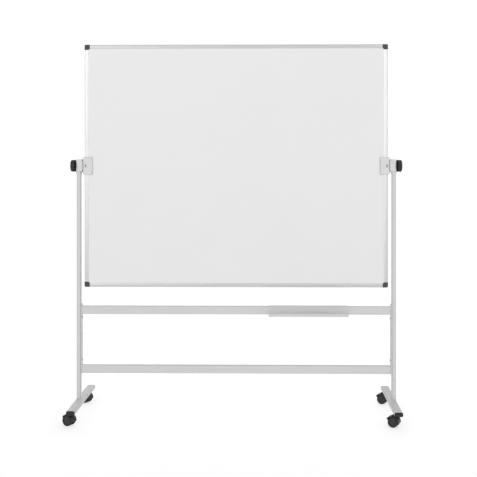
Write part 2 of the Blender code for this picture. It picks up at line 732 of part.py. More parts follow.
def wheel_mesh():
    """One wheel about its own Z axis: inner face at height 0, dished outer face above."""
    bore = AXLE_RADIUS + BORE_CLEARANCE
    half_flat = math.pi / WHEEL_FLATS
    radius, width = WHEEL_RADIUS / math.cos(half_flat), WHEEL_WIDTH
    hub, rim, shoulder = WHEEL_HUB_RADIUS, WHEEL_RIM_RADIUS, WHEEL_SHOULDER_WIDTH
    dish = width - WHEEL_DISH
    tread = radius - WHEEL_SHOULDER
    profile = [(bore, width), (hub, width), (hub + WHEEL_DISH_SLOPE, dish)]
    profile += [(rim - WHEEL_DISH_SLOPE, dish), (rim, width), (tread, width)]
    profile += [(radius, width - shoulder), (radius, shoulder), (tread, 0), (bore, 0)]
    wheel = turned(profile, WHEEL_FLATS, closed=True)
    wheel.transform(Matrix.Rotation(half_flat, 4, "Z"))
    return wheel


def brake_mesh():
    """The brake pedal about its own pivot: barrel, pin and a tapering tread plate."""
    run = Vector(BRAKE_TIP) - Vector(BRAKE_PIVOT)
    slope = math.atan2(-run.y, -run.x)
    length = run.length
    wide, narrow, tip = BRAKE_HALF_WIDTH, BRAKE_TIP_HALF_WIDTH, BRAKE_TIP_CHAMFER
    taper = -BRAKE_TAPER_START * length
    outline = [(0, -wide), (0, wide), (taper, wide), (tip - length, narrow + tip)]
    outline += [(-length, narrow), (-length, -narrow), (tip - length, -narrow - tip)]
    outline += [(taper, -wide)]
    plate = prism([outline], BRAKE_THICKNESS)
    barrel = rod((0, -wide, 0), (0, wide, 0), BRAKE_BARREL_RADIUS, 12)
    half_notch = HOOD_HALF_WEB + BRAKE_NOTCH_CLEARANCE
    lowest = (-BRAKE_NOTCH, -half_notch, -OVERRUN)
    notch = box(lowest, (OVERRUN, half_notch, OVERRUN))
    half_pin = half_notch + BRAKE_PIN_OVERLAP
    pin = rod((0, -half_pin, 0), (0, half_pin, 0), BRAKE_PIN_RADIUS, 12)
    pedal = join(cut(join(plate, barrel), notch), pin)
    pedal.transform(Matrix.Rotation(-slope, 4, "Y"))
    return pedal


def add_castors():
    stem, hood, wheel, brake = stem_mesh(), hood_mesh(), wheel_mesh(), brake_mesh()
    axle = rod((0, -AXLE_HALF_LENGTH, 0), (0, AXLE_HALF_LENGTH, 0), AXLE_RADIUS, 12)
    front_turn = (QUARTER_TURN, 0, 0)
    rear_turn = (-QUARTER_TURN, 0, 0)
    for row, y in (("front", -CASTOR_Y), ("rear", CASTOR_Y)):
        for side, x in (("left", -FOOT_X), ("right", FOOT_X)):
            name = f"castor_{row}_{side}"
            place(f"{name}_stem", stem, "zinc_plated_steel", (x, y, 0))
            swivel = pivot_empty(f"{name}_swivel", (x, y, 0), (0, 0, CASTOR_YAW))
            hub = (-CASTOR_TRAIL, 0, WHEEL_RADIUS)
            place(f"{name}_hood", hood, "black_plastic", parent=swivel)
            place(f"{name}_axle", axle, "zinc_plated_steel", hub, parent=swivel)
            front = (hub[0], -WHEEL_INNER, hub[2])
            rear = (hub[0], WHEEL_INNER, hub[2])
            place(f"{name}_wheel_front", wheel, "black_plastic", front, front_turn, swivel)
            place(f"{name}_wheel_rear", wheel, "black_plastic", rear, rear_turn, swivel)
            pivot = (hub[0] + BRAKE_PIVOT[0], 0, hub[2] + BRAKE_PIVOT[1])
            place(f"{name}_brake", brake, "black_plastic", pivot, parent=swivel)


clear_scene()
whiteboard = new_collection("rolling_whiteboard")
cutters = new_collection("cutters")
finishes = {name: make_finish(name) for name in FINISHES}
add_board()
add_posts()
add_feet()
add_foot_caps()
add_bar_frame()
add_bolts()
add_pen_tray()
add_knobs()
add_castors()
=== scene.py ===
"""The looks of the rolling whiteboard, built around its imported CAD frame.

Metres, +Z up, -Y is the front. Each visible piece is modelled finer than the solid that it
stands for, at the same place and size, and rides on that solid's body. The two writing
sheets, the core, the studs, the axles and the stems keep their CAD shapes.
"""

import json
import math

import bmesh
import bpy
from mathutils import Matrix, Vector


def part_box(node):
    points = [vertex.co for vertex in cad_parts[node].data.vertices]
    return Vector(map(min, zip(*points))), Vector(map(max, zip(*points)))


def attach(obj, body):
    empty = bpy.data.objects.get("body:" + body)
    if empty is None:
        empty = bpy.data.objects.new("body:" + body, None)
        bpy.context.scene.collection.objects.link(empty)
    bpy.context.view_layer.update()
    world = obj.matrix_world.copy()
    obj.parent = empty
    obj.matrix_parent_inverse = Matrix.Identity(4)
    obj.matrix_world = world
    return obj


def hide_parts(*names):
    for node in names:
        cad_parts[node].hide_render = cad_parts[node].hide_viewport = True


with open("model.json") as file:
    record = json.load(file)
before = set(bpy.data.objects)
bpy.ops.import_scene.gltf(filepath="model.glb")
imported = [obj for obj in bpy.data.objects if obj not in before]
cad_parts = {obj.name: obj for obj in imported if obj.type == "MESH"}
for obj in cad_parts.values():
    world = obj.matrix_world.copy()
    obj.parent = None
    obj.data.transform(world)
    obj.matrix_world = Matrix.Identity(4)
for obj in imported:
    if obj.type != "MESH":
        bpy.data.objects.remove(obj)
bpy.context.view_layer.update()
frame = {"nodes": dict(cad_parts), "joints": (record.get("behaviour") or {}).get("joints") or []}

MM = 0.001
GAP = 0.3 * MM  # left between pieces that touch
PAST = 10 * MM  # how far a cutter runs past what it cuts
NEAR_AXIS = 0.5 * MM  # where a turned profile ends under a flat face
SHARP = math.radians(40)  # faces that meet more steeply than this keep a sharp edge
TUBE_WALL = 1.5 * MM
TUBE_RADIUS = 5 * MM
BAR_RADIUS = 3 * MM
STUD_BORE = 5.4 * MM  # the radius round the studs' threads
PIVOT_HEIGHT = next(j["pos_m"][2] for j in frame["joints"] if j["name"] == "board_revolve")

# Turns a shape made along Z so that it runs along another axis.
ALONG_X = Matrix(((0, 0, 1, 0), (1, 0, 0, 0), (0, 1, 0, 0), (0, 0, 0, 1)))
ALONG_Y = Matrix(((1, 0, 0, 0), (0, 0, -1, 0), (0, 1, 0, 0), (0, 0, 0, 1)))
SIDES = {"left": Matrix.Rotation(math.pi, 4, "Z"), "right": Matrix.Identity(4)}
ROWS = ("front", "rear")


def move(x=0, y=0, z=0):
    return Matrix.Translation((x, y, z))


def turn(degrees, axis):
    return Matrix.Rotation(math.radians(degrees), 4, axis)


def middle(node):
    lowest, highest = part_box(node)
    return (lowest + highest) / 2


def extent(node):
    lowest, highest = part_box(node)
    return highest - lowest


# --- outlines --------------------------------------------------------------------------


def arc(centre, radius, start, end, steps=6):
    """Points on a circle between two angles in degrees, both ends included."""
    points = []
    for step in range(steps + 1):
        angle = math.radians(start + (end - start) * step / steps)
        x = centre[0] + radius * math.cos(angle)
        y = centre[1] + radius * math.sin(angle)
        points.append((x, y))
    return points


def rounded_rectangle(width, height, radius, steps=6):
    points = []
    for quarter, (side_x, side_y) in enumerate(((1, 1), (-1, 1), (-1, -1), (1, -1))):
        centre = (side_x * (width / 2 - radius), side_y * (height / 2 - radius))
        points += arc(centre, radius, 90 * quarter, 90 * quarter + 90, steps)
    return points


def filleted(path, radius, steps=6):
    """An open path with each of its corners rounded."""
    path = [Vector(point) for point in path]
    points = [path[0]]
    for before, corner, after in zip(path, path[1:], path[2:]):
        back, on = (before - corner).normalized(), (after - corner).normalized()
        half = back.angle(on) / 2
        centre = corner + (back + on).normalized() * radius / math.sin(half)
        first = corner + back * radius / math.tan(half) - centre
        last = corner + on * radius / math.tan(half) - centre
        sweep = math.pi - 2 * half
        for step in range(steps + 1):
            share = step / steps
            along = first * math.sin((1 - share) * sweep) + last * math.sin(share * sweep)
            points.append(centre + along / math.sin(sweep))
    return points + [path[-1]]


def ribbon(path, thickness):
    """The outline of a strip of even thickness whose middle follows an open path."""
    left, right = [], []
    for index, point in enumerate(path):
        run = path[min(index + 1, len(path) - 1)] - path[max(index - 1, 0)]
        normal = Vector((-run.y, run.x)).normalized() * thickness / 2
        left.append(point + normal)
        right.append(point - normal)
    return left + right[::-1]


def at_height(outline, height):
    return [(x, y, height) for x, y in outline]


# --- meshes ----------------------------------------------------------------------------


def finished(build):
    """The bmesh as a mesh with its faces out."""
    bmesh.ops.remove_doubles(build, verts=build.verts, dist=0.001 * MM)
    bmesh.ops.recalc_face_normals(build, faces=build.faces)
    mesh = bpy.data.meshes.new("shape")
    build.to_mesh(mesh)
    build.free()
    return mesh


def loft(rings, closed=False):
    """Rings of as many points each, joined in order. The ends are filled, or joined too."""
    build = bmesh.new()
    rows = [[build.verts.new(point) for point in ring] for ring in rings]
    pairs = list(zip(rows, rows[1:]))
    if closed:
        pairs.append((rows[-1], rows[0]))
    else:
        build.faces.new(rows[0])
        build.faces.new(rows[-1])
    for lower, upper in pairs:
        for index, corner in enumerate(lower):
            after = (index + 1) % len(lower)
            build.faces.new((corner, lower[after], upper[after], upper[index]))
    return finished(build)


def prism(outline, low, high, axes=None):
    mesh = loft([at_height(outline, low), at_height(outline, high)])
    if axes:
        mesh.transform(axes)
    return mesh


def tube(width, height, radius, low, high, axes):
    """A hollow rounded section between two heights."""
    outer = rounded_rectangle(width, height, radius)
    inner = rounded_rectangle(width - 2 * TUBE_WALL, height - 2 * TUBE_WALL, radius - TUBE_WALL)
    rings = [at_height(outer, low), at_height(outer, high)]
    rings += [at_height(inner, high), at_height(inner, low)]
    mesh = loft(rings, closed=True)
    mesh.transform(axes)
    return mesh


def turned(profile, sides=48, wave=None):
    """A profile of (radius, height) points turned about Z. A wave may change each point."""
    rings = []
    for radius, height in profile:
        ring = []
        for side in range(sides):
            angle = 2 * math.pi * side / sides
            reach, level = wave(radius, height, angle) if wave else (radius, height)
            ring.append((reach * math.cos(angle), reach * math.sin(angle), level))
        rings.append(ring)
    return loft(rings)


def rod(radius, low, high, sides=32, place=None):
    mesh = turned([(radius, low), (radius, high)], sides)
    if place:
        mesh.transform(place)
    return mesh


def block(lowest, highest):
    build = bmesh.new()
    bmesh.ops.create_cube(build, size=1)
    lowest, highest = Vector(lowest), Vector(highest)
    shape = Matrix.Translation((lowest + highest) / 2)
    shape = shape @ Matrix.Diagonal((*(highest - lowest), 1))
    bmesh.ops.transform(build, matrix=shape, verts=build.verts)
    return finished(build)


def modified(mesh, kind, **settings):
    """The mesh after one modifier."""
    obj = bpy.data.objects.new("working", mesh)
    bpy.context.scene.collection.objects.link(obj)
    modifier = obj.modifiers.new(kind.lower(), kind)
    for name, value in settings.items():
        setattr(modifier, name, value)
    bpy.context.view_layer.update()
    graph = bpy.context.evaluated_depsgraph_get()
    result = bpy.data.meshes.new_from_object(obj.evaluated_get(graph))
    bpy.data.objects.remove(obj, do_unlink=True)
    return result


def softened(mesh, width, segments=3, angle=30):
    """The mesh with its edges rounded."""
    return modified(
        mesh, "BEVEL", width=width, segments=segments, limit_method="ANGLE",
        angle_limit=math.radians(angle), harden_normals=False,
    )


def combined(operation, mesh, tools):
    """A boolean with each tool in turn. Its many-sided faces end as triangles."""
    for tool in tools:
        helper = bpy.data.objects.new("tool", tool)
        bpy.context.scene.collection.objects.link(helper)
        mesh = modified(mesh, "BOOLEAN", operation=operation, object=helper)
        bpy.data.objects.remove(helper, do_unlink=True)
    build = bmesh.new()
    build.from_mesh(mesh)
    many_sided = [face for face in build.faces if len(face.verts) > 4]
    bmesh.ops.triangulate(build, faces=many_sided)
    return finished(build)


def cut(mesh, *tools):
    return combined("DIFFERENCE", mesh, tools)


def join(mesh, *tools):
    return combined("UNION", mesh, tools)


def add(name, mesh, finish, body, node, place=None):
    """One visible piece, which stands for a CAD node and rides on its body."""
    if not mesh.materials:
        mesh.name = name
        mesh.shade_smooth()
        mesh.set_sharp_from_angle(angle=SHARP)
        mesh.materials.append(FINISHES[finish])
    obj = bpy.data.objects.new(name, mesh)
    bpy.context.scene.collection.objects.link(obj)
    if place:
        obj.matrix_world = place
    normals = obj.modifiers.new("normals", "WEIGHTED_NORMAL")
    normals.keep_sharp = True
    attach(obj, body)
    if node:
        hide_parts(node)
    return obj


def add_pair(name, mesh, finish, body, node, height=0):
    """The right piece as modelled, and the left one turned half round the middle."""
    for side, half_turn in SIDES.items():
        place = move(z=height) @ half_turn
        add(f"{name}_{side}", mesh, finish, body.format(side), node.format(side), place)


# --- node helpers ----------------------------------------------------------------------


def node(tree, kind, inputs=None, **settings):
    """One shader node. An input is a number, a colour, or another node's output."""
    made = tree.nodes.new("ShaderNode" + kind)
    for name, value in settings.items():
        setattr(made, name, value)
    for name, value in (inputs or {}).items():
        if isinstance(value, bpy.types.NodeSocket):
            tree.links.new(value, made.inputs[name])
        else:
            made.inputs[name].default_value = value
    return made


def maths(tree, operation, *values):
    inputs = dict(enumerate(values))
    return node(tree, "Math", inputs, operation=operation).outputs[0]


def own_place(tree):
    """A point's place in its piece's own axes."""
    return node(tree, "TexCoord").outputs["Object"]


def new_material(name):
    material = bpy.data.materials.new(name)
    material.use_nodes = True
    tree = material.node_tree
    return material, tree, tree.nodes["Principled BSDF"]


def grain(tree, scale, detail, stretch=(1, 1, 1)):
    """Noise in the piece's own axes, from 0 to 1, with so many features a metre."""
    inputs = {"Vector": own_place(tree), "Scale": stretch}
    place = node(tree, "Mapping", inputs).outputs["Vector"]
    inputs = {"Vector": place, "Scale": scale, "Detail": detail}
    return node(tree, "TexNoise", inputs).outputs["Fac"]


def spread(tree, factor, low, high, start=0.0, end=1.0):
    """A factor between start and end as a number between low and high."""
    inputs = {"Value": factor, "From Min": start, "From Max": end, "To Min": low, "To Max": high}
    return node(tree, "MapRange", inputs).outputs["Result"]


def blended(tree, factor, first, second, how="MIX"):
    inputs = {0: factor, 6: first, 7: second}
    return node(tree, "Mix", inputs, data_type="RGBA", blend_type=how).outputs[2]


def edges(tree, strength):
    """How worn a place is: more on outer edges, which hands and floors rub."""
    almost_flat, sharp = 0.52, 0.62
    pointiness = node(tree, "NewGeometry").outputs["Pointiness"]
    return spread(tree, pointiness, 0.0, strength, almost_flat, sharp)


def painted_hollow_shade(tree, reach, depth):
    """Painted shade in slots and joints, from ambient occlusion: 1 in the open, less where
    surfaces face each other.
    """
    enclosed, in_the_open = 0.25, 0.95
    shade = node(tree, "AmbientOcclusion", {"Distance": reach}, samples=6).outputs["AO"]
    return spread(tree, shade, depth, 1.0, enclosed, in_the_open)


def corners(tree, strength):
    """How far a place is round a square section's corner, 0 on flats, most at 45 degrees: the mask
    for painted corner shade.
    """
    round_corner, flat = 0.74, 0.96
    facing = node(tree, "TexCoord").outputs["Normal"]
    facing = node(tree, "VectorMath", {0: facing}, operation="ABSOLUTE").outputs["Vector"]
    split = node(tree, "SeparateXYZ", {"Vector": facing}).outputs
    largest = maths(tree, "MAXIMUM", split[0], split[1])
    largest = maths(tree, "MAXIMUM", largest, split[2])
    return spread(tree, largest, strength, 0.0, round_corner, flat)


def relief(tree, height, depth, strength=1.0):
    inputs = {"Height": height, "Distance": depth, "Strength": strength}
    return node(tree, "Bump", inputs).outputs["Normal"]


def wire(tree, shader, **inputs):
    for name, value in inputs.items():
        socket = shader.inputs[name.replace("_", " ")]
        if isinstance(value, bpy.types.NodeSocket):
            tree.links.new(value, socket)
        else:
            socket.default_value = value


def grey(level, blue=0.0):
    return (level, level, level + blue, 1.0)


# --- finishes --------------------------------------------------------------------------


def writing_enamel():
    """Baked white enamel: a satin gloss, with a faint orange peel and dry-wipe haze."""
    material, tree, shader = new_material("writing_enamel")
    haze = grain(tree, 3.0, 4.0, (1.0, 1.0, 1.6))
    wiped = grain(tree, 9.0, 3.0, (0.5, 1.0, 1.4))
    colour = blended(tree, spread(tree, haze, 0.0, 1.0, 0.35, 0.65), grey(0.845), grey(0.853))
    wire(
        tree, shader, Base_Color=colour, Coat_Weight=0.15, Coat_Roughness=0.25,
        Roughness=spread(tree, wiped, 0.44, 0.50, 0.3, 0.7),
        Normal=relief(tree, grain(tree, 420.0, 1.0), 0.03 * MM, 0.25),
    )
    return material


def anodised_aluminium():
    """Satin anodised rail: drawn lines along its length, a little worn on its edges."""
    material, tree, shader = new_material("anodised_aluminium")
    drawn = grain(tree, 900.0, 3.0, (0.006, 1.0, 1.0))
    cloud = grain(tree, 14.0, 2.0)
    colour = blended(tree, cloud, grey(0.80, 0.006), grey(0.86, 0.004))
    colour = blended(tree, edges(tree, 0.5), colour, grey(0.93))
    length = node(tree, "VectorTransform", {"Vector": (1, 0, 0)}, vector_type="VECTOR",
                  convert_from="OBJECT", convert_to="WORLD").outputs["Vector"]
    wire(
        tree, shader, Base_Color=colour, Metallic=0.92, Anisotropic=0.85, Tangent=length,
        Anisotropic_Rotation=0.25,
        Roughness=spread(tree, drawn, 0.34, 0.46, 0.25, 0.75),
        Normal=relief(tree, drawn, 0.02 * MM, 0.5),
    )
    return material


def moulded_plastic(name, level, blue, roughness, worn, dusty=None, painted_corner_shade=0.0, deep=0.35):
    """Spark-eroded mould grain, paler on rubbed edges, with painted shade in its recesses.

    It may also be dusty, or have painted shade round its rounded corners.
    """
    material, tree, shader = new_material(name)
    pores = grain(tree, 1400.0, 2.0)
    cloud = grain(tree, 40.0, 3.0)
    colour = blended(tree, cloud, grey(level * 0.94, blue), grey(level * 1.06, blue))
    colour = blended(tree, edges(tree, 0.55), colour, grey(worn, blue))
    if dusty:
        colour = blended(tree, spread(tree, cloud, 0.0, 0.35, 0.5, 0.75), colour, grey(dusty))
    # Painted shade round rounded corners, towards half the base colour.
    if painted_corner_shade:
        colour = blended(tree, corners(tree, painted_corner_shade), colour, grey(level * 0.5, blue))
    # Painted shade: the colour is darkened in recesses by ambient occlusion.
    colour = blended(tree, 1.0, colour, painted_hollow_shade(tree, 9 * MM, deep), "MULTIPLY")
    wire(
        tree, shader, Base_Color=colour,
        Roughness=spread(tree, pores, roughness - 0.06, roughness + 0.1, 0.3, 0.7),
        Normal=relief(tree, pores, 0.06 * MM, 0.6),
    )
    return material


def wheel_nylon():
    """A greyer hub disc inside a dull black tread, dusty where it meets the floor."""
    material, tree, shader = new_material("wheel_nylon")
    disc_edge, tread_edge = 20.2 * MM, 20.8 * MM
    place = {0: own_place(tree), 1: (1, 1, 0)}
    flat = node(tree, "VectorMath", place, operation="MULTIPLY").outputs["Vector"]
    reach = node(tree, "VectorMath", {0: flat}, operation="LENGTH").outputs["Value"]
    tread = spread(tree, reach, 0.0, 1.0, disc_edge, tread_edge)
    pores = grain(tree, 1400.0, 2.0)
    colour = blended(tree, tread, grey(0.032, 0.005), grey(0.008))
    dust = spread(tree, grain(tree, 60.0, 4.0), 0.0, 0.4, 0.5, 0.75)
    colour = blended(tree, dust, colour, grey(0.05))
    # Painted shade: the colour is darkened in recesses by ambient occlusion.
    colour = blended(tree, 1.0, colour, painted_hollow_shade(tree, 5 * MM, 0.3), "MULTIPLY")
    wire(
        tree, shader, Base_Color=colour, Roughness=spread(tree, tread, 0.34, 0.50),
        Normal=relief(tree, pores, 0.05 * MM, 0.5),
    )
    return material


def knob_plastic(shaded_band_end):
    """Black plastic: a plain band next to the head, painted near black as shade, then the grained
    grip.
    """
    material = moulded_plastic("knob_plastic", 0.012, 0.001, 0.30, 0.035)
    tree = material.node_tree
    shader = tree.nodes["Principled BSDF"]
    across = node(tree, "SeparateXYZ", {"Vector": own_place(tree)}).outputs["X"]
    fade = 0.5 * MM
    grip = spread(tree, across, 0.0, 1.0, shaded_band_end - fade, shaded_band_end + fade)
    colour = shader.inputs["Base Color"].links[0].from_socket
    # Painted shade: the band next to the head is near black and less glossy.
    colour = blended(tree, grip, grey(0.003), colour)
    wire(tree, shader, Base_Color=colour, Specular_IOR_Level=spread(tree, grip, 0.15, 0.5))
    return material


def powder_coat():
    """Light grey powder coat: fine orange peel and flecks, with painted shade on its rounded
    corners.
    """
    material, tree, shader = new_material("powder_coat")
    peel = grain(tree, 650.0, 2.0)
    speckle = grain(tree, 2600.0, 1.0)
    cloud = grain(tree, 9.0, 3.0)
    colour = blended(tree, cloud, (0.650, 0.648, 0.645, 1), (0.700, 0.698, 0.694, 1))
    fleck = spread(tree, speckle, 0.0, 0.35, 0.62, 0.72)
    colour = blended(tree, fleck, colour, grey(0.45))
    # Painted shade: rounded corners darkened towards a mid grey.
    colour = blended(tree, corners(tree, 0.75), colour, grey(0.42))
    wire(
        tree, shader, Base_Color=colour,
        Roughness=spread(tree, peel, 0.36, 0.50, 0.3, 0.7),
        Normal=relief(tree, peel, 0.12 * MM, 0.35),
    )
    return material


def plated_steel():
    """Bright zinc: clouded, fairly sharp, with a slight blue passivation."""
    material, tree, shader = new_material("plated_steel")
    cloud = grain(tree, 160.0, 4.0)
    turned_marks = grain(tree, 2200.0, 2.0, (1.0, 1.0, 0.2))
    colour = blended(tree, cloud, (0.55, 0.56, 0.60, 1), (0.72, 0.71, 0.70, 1))
    wire(
        tree, shader, Base_Color=colour, Metallic=1.0,
        Roughness=spread(tree, cloud, 0.22, 0.42, 0.3, 0.7),
        Normal=relief(tree, turned_marks, 0.02 * MM, 0.5),
    )
    return material


def honeycomb_board():
    """The paper honeycomb between the sheets."""
    material, tree, shader = new_material("honeycomb_board")
    cells = node(tree, "TexVoronoi", {"Scale": 90.0}, feature="DISTANCE_TO_EDGE")
    walls = spread(tree, cells.outputs["Distance"], 0.0, 1.0, 0.0, 0.12)
    colour = blended(tree, walls, (0.62, 0.50, 0.36, 1), (0.42, 0.33, 0.22, 1))
    wire(tree, shader, Base_Color=colour, Roughness=0.9,
         Normal=relief(tree, grain(tree, 1200.0, 3.0), 0.1 * MM))
    return material


def make_finishes():
    # How wide the painted shade band next to the knob's head is.
    knob_shaded_band = 8 * MM
    return {
        "enamel": writing_enamel(),
        "core": honeycomb_board(),
        "aluminium": anodised_aluminium(),
        "corner": moulded_plastic("corner_plastic", 0.052, 0.002, 0.42, 0.12),
        # The grey plastic has strong painted shade round its corners and in its recesses.
        "grey": moulded_plastic("grey_plastic", 0.715, 0.008, 0.46, 0.78, painted_corner_shade=0.9, deep=0.10),
        "coat": powder_coat(),
        "steel": plated_steel(),
        "knob": knob_plastic(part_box("clamp_knob_right")[0].x + knob_shaded_band),
        "plug": moulded_plastic("plug_plastic", 0.016, 0.001, 0.34, 0.05),
        "castor": moulded_plastic("castor_plastic", 0.011, 0.001, 0.32, 0.04, 0.04),
        "tread": wheel_nylon(),
    }


# --- the board -------------------------------------------------------------------------


def rail_mesh(length, depth, face):
    """A drawn aluminium channel along X: round outer edges, a shadow line by each lip."""
    half = depth / 2
    crown, edge, fillet, ease = 32 * MM, 6 * MM, 4.5 * MM, 0.5 * MM
    web, lip = 2 * MM, 1.7 * MM
    channel = half - lip
    widest, edge_angle = 12 * MM, 196
    lip_angle = 180 - math.degrees(math.asin((face - ease - widest) / crown))
    front = arc((crown - half, widest), crown, lip_angle, edge_angle, 8)
    front = [(front[0][0] + ease, face)] + front
    lean = math.radians(edge_angle)
    centre_x = crown - half + (crown - edge) * math.cos(lean)
    centre_y = widest + (crown - edge) * math.sin(lean)
    front += arc((centre_x, centre_y), edge, edge_angle + 8, 270, 7)
    drop = front[-1][1]
    front = [(x, y - drop * (face - y) / face) for x, y in front]
    outline = front + [(-x, y) for x, y in reversed(front)]
    outline += [(channel, face)]
    outline += arc((channel - fillet, web + fillet), fillet, 0, -90, 4)
    outline += arc((fillet - channel, web + fillet), fillet, -90, -180, 4)
    outline += [(-channel, face)]
    return prism(outline, -length / 2, length / 2, ALONG_X)


def add_rails():
    for side, angle in (("bottom", 0), ("left", 90), ("top", 180), ("right", 270)):
        name = f"board_rail_{side}"
        lowest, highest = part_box(name)
        size = highest - lowest
        flat = side in ("bottom", "top")
        mesh = rail_mesh(size.x if flat else size.z, size.y, size.z if flat else size.x)
        spot = middle(name)
        if flat:
            spot.z = lowest.z if side == "bottom" else highest.z
        else:
            spot.x = lowest.x if side == "left" else highest.x
        place = Matrix.Translation(spot) @ turn(angle, "Y")
        add(f"frame_rail_{side}", mesh, "aluminium", "board", name, place)


def corner_cover_mesh(size, depth):
    """The lower left cover, its outer corner at the origin, open for the panel's corner."""
    radius, chamfer, ease = 7 * MM, 7 * MM, 1.5 * MM
    outline = arc((radius, radius), radius, 180, 270, 10)
    outline += [(size, 0), (size, size - chamfer), (size - chamfer, size), (0, size)]
    cover = softened(prism(outline, -depth / 2, depth / 2, ALONG_Y), ease, 4)
    wall, half = 5.7 * MM, 8.3 * MM
    pocket = block((wall, -half, wall), (2 * size, half, 2 * size))
    return cut(cover, pocket)


def add_corner_covers():
    size = extent("corner_cap_top_left")
    mesh = corner_cover_mesh(size.x, size.y)
    turns = {"bottom_left": 0, "top_left": 90, "top_right": 180, "bottom_right": 270}
    for corner, angle in turns.items():
        name = f"corner_cap_{corner}"
        lowest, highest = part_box(name)
        x = lowest.x if "left" in corner else highest.x
        z = lowest.z if "bottom" in corner else highest.z
        place = move(x, 0, z) @ turn(angle, "Y")
        add(f"corner_cover_{corner}", mesh, "corner", "board", name, place)


def bracket_mesh():
    """The right clamp bracket, which grips the rail and holds the head of the stud."""
    lowest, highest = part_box("pivot_bracket_right")
    inner, outer = lowest.x, highest.x
    half, deep = (highest.z - lowest.z) / 2, (highest.y - lowest.y) / 2
    chamfer_x, chamfer_z, corner, ease = 3 * MM, 5 * MM, 2.5 * MM, 1.8 * MM
    upper = [(outer, half - chamfer_z), (outer - chamfer_x, half)]
    upper += arc((inner + corner, half - corner), corner, 90, 180, 6)
    outline = upper + [(x, -z) for x, z in reversed(upper)]
    body = softened(prism(outline, -deep, deep, ALONG_Y), ease, 4, 20)
    board_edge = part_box("board_rail_right")[1].x + GAP
    grip, reach = 10.4 * MM, 60 * MM
    mouth = block((inner - PAST, -grip, -reach), (board_edge, grip, reach))
    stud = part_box("pivot_stud_right")
    head_radius = (stud[1].z - stud[0].z) / 2 + GAP
    to_x = turn(90, "Y")
    recess_depth = 2.7 * MM
    recess = rod(head_radius, board_edge - 5 * MM, board_edge + recess_depth, 32, to_x)
    bore = rod(STUD_BORE, board_edge, outer + PAST, 32, to_x)
    width, height, depth, slot_x = 5.6 * MM, 15 * MM, 3.9 * MM, board_edge - 5.8 * MM
    slots = []
    for low, high in ((-2 * deep, depth - deep), (deep - depth, 2 * deep)):
        slot = prism(rounded_rectangle(width, height, width / 2.01, 8), low, high, ALONG_Y)
        slot.transform(move(slot_x))
        slots.append(slot)
    return cut(body, mouth, recess, bore, *slots)


def add_board():
    for name in ("writing_sheet_front", "writing_sheet_back"):
        repaint(name, "enamel")
    repaint("board_core", "core")
    add_rails()
    add_corner_covers()
    add_pair("clamp_bracket", bracket_mesh(), "grey", "board", "pivot_bracket_{}", PIVOT_HEIGHT)
    for side in SIDES:
        repaint(f"pivot_stud_{side}", "steel")


def repaint(name, finish):
    """A CAD node that keeps its shape gets its finish."""
    obj = frame["nodes"][name]
    obj.data.materials.clear()
    obj.data.materials.append(FINISHES[finish])


# --- the stand -------------------------------------------------------------------------


def head_mesh():
    """The right bearing head: a flat-faced block on a neck that grips the post."""
    lowest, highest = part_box("post_head_right")
    inner, outer = lowest.x, highest.x
    top, drop = highest.z - PIVOT_HEIGHT, -29 * MM
    half_depth = (highest.y - lowest.y) / 2
    slope_x, slope_z, ease = 5 * MM, 9 * MM, 1.3 * MM
    outline = [(outer, drop), (outer, top), (inner + slope_x, top), (inner, top - slope_z)]
    outline += [(inner, drop + slope_z), (inner + slope_x, drop)]
    body = softened(prism(outline, -half_depth, half_depth, ALONG_Y), ease, 4)
    post = middle("post_right").x
    low, width = lowest.z - PIVOT_HEIGHT, 23 * MM
    sections = (  # the height, width and depth of the neck, from inside the block down
        (-12 * MM, width, 36 * MM),
        (low + 5 * MM, width, 35.4 * MM),
        (low + 0.8 * MM, width, 34.6 * MM),
        (low, width - 1.2 * MM, 33.4 * MM),
    )
    rings = []
    for height, width, depth in sections:
        outline = rounded_rectangle(width, depth, TUBE_RADIUS)
        rings.append([(post + a, b, height) for a, b in outline])
    neck = loft(rings[::-1])
    size = extent("post_right")
    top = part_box("post_right")[1].z - PIVOT_HEIGHT + GAP
    outline = rounded_rectangle(size.x + 2 * GAP, size.y + 2 * GAP, TUBE_RADIUS + GAP)
    socket_depth = 30 * MM
    socket = prism([(post + x, y) for x, y in outline], top - socket_depth, top)
    bore = rod(STUD_BORE, inner - PAST, outer + PAST, 48, turn(90, "Y"))
    return cut(join(body, neck), socket, bore)


def bolt_holes(start, end, radius=3.4 * MM):
    """Cutters along X for the bolts that hold the end plates to the posts."""
    tools = []
    for level in ("upper", "lower"):
        height = middle(f"plate_bolt_{level}_right").z
        tools.append(rod(radius, start, end, 24, move(z=height) @ turn(90, "Y")))
    return tools


def add_posts():
    lowest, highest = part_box("post_right")
    size, centre = highest - lowest, (lowest + highest) / 2
    post = tube(size.x, size.y, TUBE_RADIUS, lowest.z, highest.z, move(centre.x))
    post = cut(post, *bolt_holes(lowest.x - PAST, centre.x))
    add_pair("upright_tube", post, "coat", "stand", "post_{}")
    add_pair("bearing_head", head_mesh(), "grey", "stand", "post_head_{}", PIVOT_HEIGHT)


def add_feet():
    lowest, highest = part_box("foot_right")
    size, centre = highest - lowest, (lowest + highest) / 2
    place = Matrix.Translation(centre) @ ALONG_Y
    foot = tube(size.x, size.z, TUBE_RADIUS, -size.y / 2, size.y / 2, place)
    stem_hole = 4.8 * MM
    tools = []
    for row in ROWS:
        stem = middle(f"castor_{row}_right_stem")
        tools.append(rod(stem_hole, lowest.z - PAST, centre.z, 24, move(stem.x, stem.y)))
    add_pair("foot_tube", cut(foot, *tools), "coat", "stand", "foot_{}")


